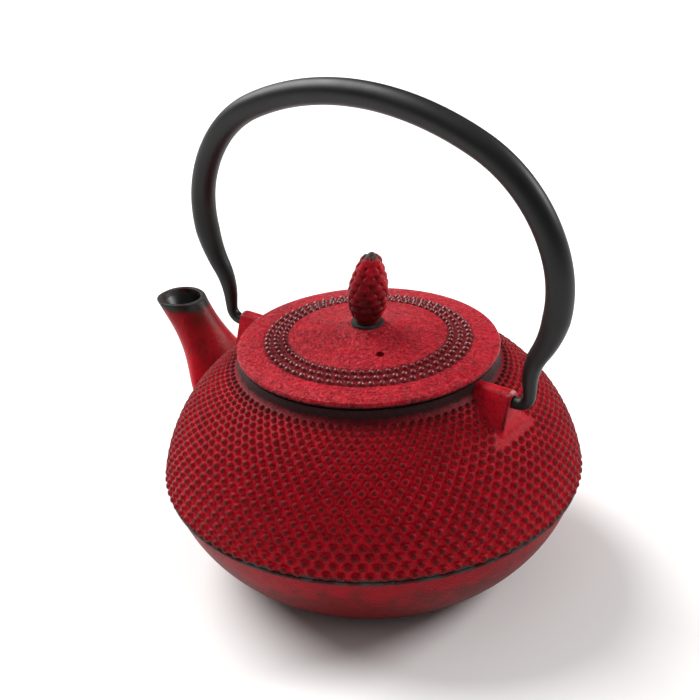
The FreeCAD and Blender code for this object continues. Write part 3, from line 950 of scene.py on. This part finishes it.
class TEAPOT_OT_lid(bpy.types.Operator):
    """Turn the lid, bore its vent, and set its three rings of nubs"""
    bl_idname = "teapot.lid"
    bl_label = "Lid"

    def execute(self, context):
        size, finish = context.scene.teapot_lid, context.scene.teapot_finish
        lid = turned("lid_casting", metres(self.outline(size)), 256)
        for radius, (x, y) in ((size.vent, VENT_PLACE), (SCREW_BORE * MM, (0, 0))):
            deselect()
            bpy.ops.mesh.primitive_cylinder_add(vertices=32, radius=radius, depth=30 * MM,
                                                location=(x * MM, y * MM, LID_HIGH.z))
            cut(lid, bpy.context.object)
        red = red_enamel("red_enamel_lid", finish, 0.7, 0.42, 0.30, lid_marks(finish), cracked=0.6)
        coat(lid, red, finish)
        under = POT_HIGH.z + 0.9 * MM
        line_with(lid, lambda middle, face: middle.z < under or face.normal.z < -0.3)
        settle(lid, 35)
        finish_piece(lid, "lid", "lid_iron", None, "lid")
        self.nubs(size, finish)
        return {"FINISHED"}

    def outline(self, size):
        """The lid's outline from the crown over the rim, down the skirt and back, in millimetres."""
        radius, under = LID_HIGH.x / MM, POT_HIGH.z / MM
        skirt, wall, thick = size.skirt / MM, size.skirt_wall / MM, size.thickness / MM
        edge = [(radius - 1.6, under), (radius - 0.5, under + 0.35), (radius, under + 1.0),
                (radius, under + 1.9), (radius - 0.35, under + 2.6), (radius - 1.1, under + 2.95)]
        top = LID_TOP[::-1]
        inner = [(skirt, under), (skirt, LID_LOW.z / MM + 0.4), (skirt - 0.4, LID_LOW.z / MM),
                 (skirt - wall + 0.4, LID_LOW.z / MM), (skirt - wall, LID_LOW.z / MM + 0.4),
                 (skirt - wall, under + 1.0), (30.0, 93.0 - thick), (11.0, 95.6 - thick), (0, 95.6 - thick)]
        return top + edge[::-1] + inner

    def nubs(self, size, finish):
        """Rounded nubs in staggered rings."""
        nub = nub_from("lid_nub", LID_NUB, size.nub, 10)
        rings = []
        for ring in range(size.rings):
            reach = size.ring_inner + ring * size.ring_step
            height = self.ground(reach / MM) * MM
            grow = reach / (NUB_RING * MM)
            copy = placed(nub, (reach, 0, height), LID_SLOPE, (grow, grow, 1))
            rings.append(ring_of(copy, size.nubs, start=(ring % 2) * TURN / size.nubs / 2))
        bpy.data.objects.remove(nub)
        nubs = join(rings, "lid_nubs")
        settle(nubs, 80)
        dark = red_enamel("worn_enamel_nub", finish, 0.6, 0.15, 0.05, nub_marks(finish), roughness=0.28,
                          gloss=0.6)
        finish_piece(nubs, "lid", "lid_iron", dark)

    def ground(self, reach):
        """Height of the lid's top at a distance from the axis, in millimetres."""
        for (outer, low), (inner, high) in zip(LID_TOP, LID_TOP[1:]):
            if inner <= reach <= outer:
                return low + (high - low) * (outer - reach) / (outer - inner)
        raise ValueError("no lid surface at %.1f mm" % reach)


class TEAPOT_OT_knob(bpy.types.Operator):
    """Shape the leaning bud and cover it with rows of scales"""
    bl_idname = "teapot.knob"
    bl_label = "Pine-Cone Knob"

    def execute(self, context):
        size, finish = context.scene.teapot_lid, context.scene.teapot_finish
        foot = KNOB_LOW.z
        bud = self.bud(size, foot)
        scales = self.scales(size, foot)
        knob = join([bud] + scales, "knob_pine_cone")
        round_off(knob, KNOB_GRAIN, 5)
        relief = knob.data.attributes.new("relief", "FLOAT", "POINT")
        for vertex, value in zip(knob.data.vertices, relief.data):
            height = (vertex.co.z - foot) / MM
            middle = self.middle(size, height)
            out = math.hypot(vertex.co.x - middle.x, vertex.co.y - middle.y) / MM
            value.value = min(1.0, max(0.0, (out - self.radius(height)) / 0.9))
        red = red_enamel("red_enamel_knob", finish, 0.5, 0.10, 0.05, knob_marks(finish), roughness=0.35)
        settle(knob, 60)
        finish_piece(knob, "lid", "knob_iron", red, "lid_knob")
        return {"FINISHED"}

    def middle(self, size, height):
        """Middle of the bud at a height above its foot in millimetres."""
        share = max(0.0, height) * MM / (KNOB_HIGH.z - KNOB_LOW.z)
        return Vector((size.knob_lean_x, size.knob_lean_y, 0)) * share ** 1.5

    def radius(self, height):
        """Radius of the bud's core at a height above its foot, in millimetres."""
        for here, there in zip(KNOB_SECTIONS, KNOB_SECTIONS[1:]):
            if here[0] <= height <= there[0]:
                return here[1] + (there[1] - here[1]) * (height - here[0]) / (there[0] - here[0])
        return KNOB_SECTIONS[0][1] if height < 0 else 0.3

    def bud(self, size, foot):
        """Core of the knob, extruded from its foot section by section."""
        deselect()
        bpy.ops.mesh.primitive_circle_add(vertices=48, radius=KNOB_SECTIONS[0][1] * MM, fill_type="NGON",
                                          location=(0, 0, foot))
        bud = bpy.context.object
        enter(bud)
        here = self.middle(size, 0)
        for low, high in zip(KNOB_SECTIONS, KNOB_SECTIONS[1:]):
            there = self.middle(size, high[0])
            step = (there.x - here.x, there.y - here.y, (high[0] - low[0]) * MM)
            bpy.ops.mesh.extrude_region_move(TRANSFORM_OT_translate={"value": step})
            grow = high[1] / low[1]
            bpy.ops.transform.resize(value=(grow, grow, 1))
            here = there
        face_outwards()
        leave()
        activate(bud)
        apply_place()
        return bud

    def scales(self, size, foot):
        """Rows of scales, each row one scale repeated round the bud."""
        deselect()
        bpy.ops.mesh.primitive_uv_sphere_add(segments=16, ring_count=10, radius=MM)
        scale = bpy.context.object
        enter(scale)
        pick(scale, "VERT", lambda middle, _: middle.z > 0.3 * MM)
        bpy.ops.transform.resize(value=(0.8, 0.75, 1.15), center_override=(0, 0, 0))
        leave()
        rows = []
        height = SCALE_FIRST
        row = 0
        while height < SCALE_LAST:
            radius = self.radius(height)
            count = max(SCALE_FEWEST, round(TURN * radius / SCALE_PITCH))
            wide = TURN * radius / count * SCALE_WIDE
            slope = math.atan2(self.radius(height + 1) - self.radius(height - 1), 2.0)
            middle = self.middle(size, height)
            place = (middle.x + radius * MM, middle.y, foot + height * MM)
            copy = placed(scale, place, slope, (SCALE_DEEP, wide, SCALE_TALL))
            rows.append(ring_of(copy, count, start=(row % 2) * TURN / count / 2 + row * 0.05,
                                centre=(middle.x, middle.y, 0)))
            height += SCALE_RISE
            row += 1
        bpy.data.objects.remove(scale)
        return rows


class TEAPOT_OT_bail(bpy.types.Operator):
    """Bend the bail from a round rod, drawn down to hooks that sit in the ears"""
    bl_idname = "teapot.bail"
    bl_label = "Bail Handle"

    def execute(self, context):
        size, finish = context.scene.teapot_bail, context.scene.teapot_finish
        deselect()
        apex = BAIL_HIGH.z - size.rod
        bpy.ops.mesh.primitive_circle_add(vertices=40, radius=size.rod, location=(0, 0, apex),
                                          rotation=(0, math.pi / 2, 0))
        rod = named("bail_rod")
        apply_place()
        enter(rod)
        here, heading, radius = Vector((0, 0, apex)), 0.0, size.rod
        for bend, degrees in BAIL_ARCS:
            steps = max(6, round(degrees))
            turn = math.copysign(math.radians(degrees) / steps, bend)
            for step in range(steps):
                centre = here + Vector((-math.sin(heading), 0, -math.cos(heading))) * bend * MM
                bpy.ops.mesh.spin(steps=1, angle=-turn, center=centre, axis=(0, 1, 0))
                here = centre + Matrix.Rotation(turn, 3, "Y") @ (here - centre)
                heading += turn
                radius = self.draw_down(size, here, radius)
        drop = here.z - size.pivot - size.hook_bend
        bpy.ops.mesh.extrude_region_move(TRANSFORM_OT_translate={"value": (0, 0, -drop)})
        here.z -= drop
        radius = self.draw_down(size, here, radius)
        centre = here - Vector((size.hook_bend, 0, 0))
        bpy.ops.mesh.spin(steps=8, angle=-math.pi / 2, center=centre, axis=(0, 1, 0))
        here = centre - Vector((0, 0, size.hook_bend))
        chamfer = 0.5 * MM
        for reach in (size.tip + chamfer - here.x, -chamfer):
            bpy.ops.mesh.extrude_region_move(TRANSFORM_OT_translate={"value": (reach, 0, 0)})
        bpy.ops.transform.resize(value=(1, 0.8, 0.8))
        bpy.ops.mesh.edge_face_add()
        bpy.ops.mesh.select_all(action="SELECT")
        bpy.ops.mesh.remove_doubles(threshold=0.005 * MM)
        leave()
        apply_modifier(rod, "MIRROR", use_axis=(True, False, False), merge_threshold=0.01 * MM)
        enter(rod)
        bpy.ops.mesh.normals_make_consistent(inside=False)
        leave()
        settle(rod, 50)
        finish_piece(rod, "bail", "bail_steel", bail_lacquer(finish), "bail_handle")
        return {"FINISHED"}

    def draw_down(self, size, here, radius):
        """Scales the open end of the rod to the taper's radius at its height, and returns that radius."""
        share = (here.z - size.pivot - size.hook_bend) / (size.taper - size.hook_bend)
        wanted = size.hook + (size.rod - size.hook) * min(max(share, 0.0), 1.0)
        if abs(wanted - radius) > 1e-7:
            grow = wanted / radius
            bpy.ops.transform.resize(value=(grow, grow, grow), center_override=here)
        return wanted


class TEAPOT_OT_basket(bpy.types.Operator):
    """Weave the strainer's wall and floor, and finish its steel"""
    bl_idname = "teapot.basket"
    bl_label = "Strainer Basket"

    def execute(self, context):
        size, finish = context.scene.teapot_basket, context.scene.teapot_finish
        steel = metal("stainless_steel_mesh", finish.steel, finish.zinc, 0.28, 1.2)
        radius = WALL_HIGH.x - size.wire / 2
        around = round(TURN * radius / size.pitch)
        rows = round((WALL_HIGH.z - WALL_LOW.z) / size.pitch)
        rise = (WALL_HIGH.z - WALL_LOW.z - size.wire) / rows
        deselect()
        bpy.ops.mesh.primitive_circle_add(vertices=around, radius=radius,
                                          location=(0, 0, WALL_LOW.z + size.wire / 2))
        wall = named("strainer_mesh_wall")
        enter(wall)
        for _ in range(rows):
            bpy.ops.mesh.extrude_region_move(TRANSFORM_OT_translate={"value": (0, 0, rise)})
        face_outwards()
        leave()
        self.weave(wall, size.wire, steel, "infuser_mesh_wall")

        deselect()
        across = FLOOR_HIGH.x * 2
        cells = round(across / size.pitch)
        bpy.ops.mesh.primitive_grid_add(x_subdivisions=cells, y_subdivisions=cells, size=across,
                                        location=(0, 0, (FLOOR_LOW.z + FLOOR_HIGH.z) / 2))
        sieve = named("strainer_mesh_floor")
        enter(sieve)
        pick(sieve, "VERT", lambda middle, _: math.hypot(middle.x, middle.y) > across / 2)
        bpy.ops.mesh.delete(type="VERT")
        leave()
        self.weave(sieve, size.wire, steel, "infuser_mesh_floor")
        drawn = metal("drawn_stainless_steel", finish.steel, finish.zinc, 0.2, 0.8)
        coat_nodes({"infuser_collar": drawn, "infuser_base_ring": drawn})
        return {"FINISHED"}

    def weave(self, sheet, wire, steel, node):
        """Turns every edge of a sheet into a wire and lets the mesh stand for its CAD node."""
        settle(sheet)
        apply_modifier(sheet, "WIREFRAME", thickness=wire, use_even_offset=False, use_replace=True)
        settle(sheet, 60)
        finish_piece(sheet, "infuser", "infuser_mesh", steel, node)


class TEAPOT_OT_fittings(bpy.types.Operator):
    """Finish the screw and the washers that hold the knob"""
    bl_idname = "teapot.fittings"
    bl_label = "Screw and Washers"

    def execute(self, context):
        finish = context.scene.teapot_finish
        plated = metal("zinc_plated_steel", finish.zinc, finish.steel, 0.3, 0.6)
        coat_nodes({"knob_screw": plated, "knob_inner_washer": plated, "knob_seat_washer": rubber(finish)})
        return {"FINISHED"}


class TEAPOT_OT_stage(bpy.types.Operator):
    """Lay the studio floor, hang the soft lights and set the camera"""
    bl_idname = "teapot.stage"
    bl_label = "Stage"

    def execute(self, context):
        stage, finish = context.scene.teapot_stage, context.scene.teapot_finish
        deselect()
        bpy.ops.mesh.primitive_plane_add(size=stage.floor, location=(0, 0, -0.05 * MM))
        floor = named("studio_floor")
        floor.data.materials.append(self.paper(finish))
        for name, toward, spread, strength in SUNS:
            light = bpy.data.lights.new(name, "SUN")
            light.energy = strength
            light.angle = math.radians(spread)
            lamp = bpy.data.objects.new(name, light)
            lamp.rotation_euler = Vector(toward).to_track_quat("Z", "Y").to_euler()
            context.scene.collection.objects.link(lamp)
        world = bpy.data.worlds.new("studio")
        world.use_nodes = True
        world.node_tree.nodes["Background"].inputs["Color"].default_value = (1.0, 0.99, 0.985, 1.0)
        world.node_tree.nodes["Background"].inputs["Strength"].default_value = 0.16
        context.scene.world = world
        context.scene.view_settings.view_transform = "Standard"

        camera = bpy.data.objects.new("camera", bpy.data.cameras.new("camera"))
        camera.data.lens = stage.lens
        camera.data.sensor_width = 36
        camera.data.clip_start = 0.01
        aim = Vector(stage.aim) - Vector(stage.place)
        camera.rotation_mode = "QUATERNION"
        camera.rotation_quaternion = aim.to_track_quat("-Z", "Y") @ Quaternion((0, 0, 1), stage.roll)
        camera.location = stage.place
        context.scene.collection.objects.link(camera)
        context.scene.camera = camera
        return {"FINISHED"}

    def paper(self, finish):
        """White background paper: matt, with faint cloudy unevenness."""
        material, tree, shader, place = fresh("background_paper", **{"Roughness": 0.9})
        paint(tree, shader, finish.paper, [(pattern(tree, place, 300.0, 0.3, 0.7), 0.03, finish.steel)])
        return material


class TEAPOT_PT_panel(bpy.types.Panel):
    """Lists the settings and the steps of the teapot"""
    bl_idname = "TEAPOT_PT_panel"
    bl_label = "Hobnail Teapot"
    bl_space_type = "VIEW_3D"
    bl_region_type = "UI"
    bl_category = "Teapot"

    def draw(self, context):
        for step in STEPS:
            self.layout.operator(step.bl_idname)
        for pointer, group in GROUPS.items():
            box = self.layout.box()
            box.label(text=group.__doc__)
            for name in group.__annotations__:
                box.prop(getattr(context.scene, pointer), name)


GROUPS = {"teapot_pot": TeapotPot, "teapot_lid": TeapotLid, "teapot_bail": TeapotBail,
          "teapot_basket": TeapotBasket, "teapot_finish": TeapotFinish, "teapot_stage": TeapotStage}
STEPS = [TEAPOT_OT_stage, TEAPOT_OT_shell, TEAPOT_OT_hobnails, TEAPOT_OT_spout, TEAPOT_OT_ears, TEAPOT_OT_lid,
         TEAPOT_OT_knob, TEAPOT_OT_bail, TEAPOT_OT_basket, TEAPOT_OT_fittings]


def register():
    """Registers the settings, the steps and the panel."""
    for group in GROUPS.values():
        bpy.utils.register_class(group)
    for step in STEPS + [TEAPOT_PT_panel]:
        bpy.utils.register_class(step)
    for pointer, group in GROUPS.items():
        setattr(bpy.types.Scene, pointer, bpy.props.PointerProperty(type=group))


def unregister():
    """Removes what register added."""
    for pointer in GROUPS:
        delattr(bpy.types.Scene, pointer)
    for step in [TEAPOT_PT_panel] + STEPS[::-1]:
        bpy.utils.unregister_class(step)
    for group in GROUPS.values():
        bpy.utils.unregister_class(group)


def main():
    """Builds the whole teapot."""
    register()
    for step in STEPS:
        name = step.bl_idname.split(".")[1]
        getattr(bpy.ops.teapot, name)()


if __name__ == "__main__":
    main()
